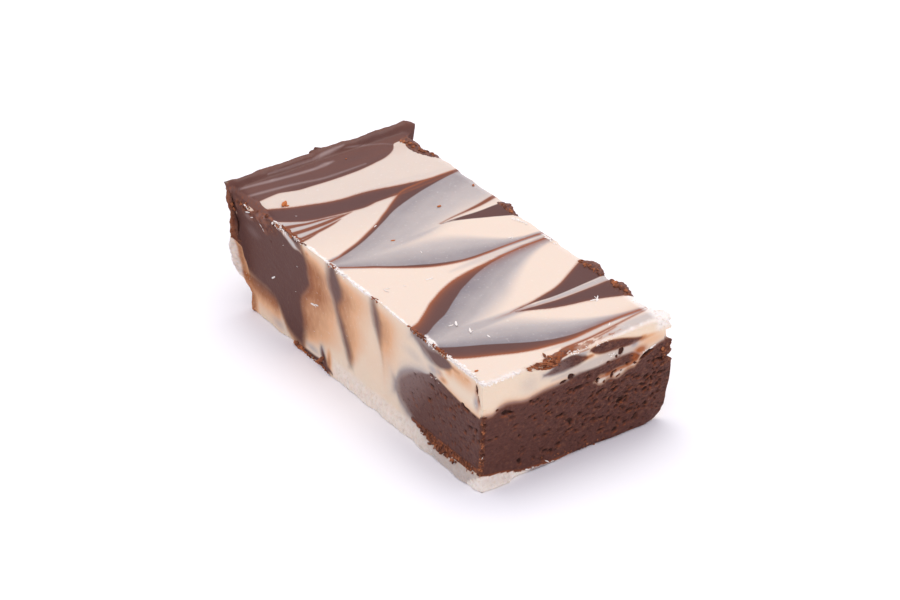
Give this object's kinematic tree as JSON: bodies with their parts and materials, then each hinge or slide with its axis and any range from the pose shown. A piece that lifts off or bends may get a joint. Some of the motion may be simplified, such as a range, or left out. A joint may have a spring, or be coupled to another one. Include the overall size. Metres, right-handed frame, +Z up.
{
  "type": "marbled fudge bar",
  "caption": "Rectangular bar of vanilla and chocolate marbled fudge, hand cut from a slab, with a slanted far end, a rounded tray edge and a ragged foot.",
  "frame": {"origin": "middle of the bar's bounding box in plan, on the flat base it rests on", "axes": "+Y along the bar, from the square-cut near end to the slanted far end; +X across it, from the knife-cut left side with the foot to the tray side with the round lower edge; +Z up"},
  "size_m": [0.0484, 0.0932, 0.0249],
  "materials": {
    "fudge": "satin"
  },
  "bodies": {
    "root": {"fudge_bar": "fudge"}
  },
  "joints": []
}
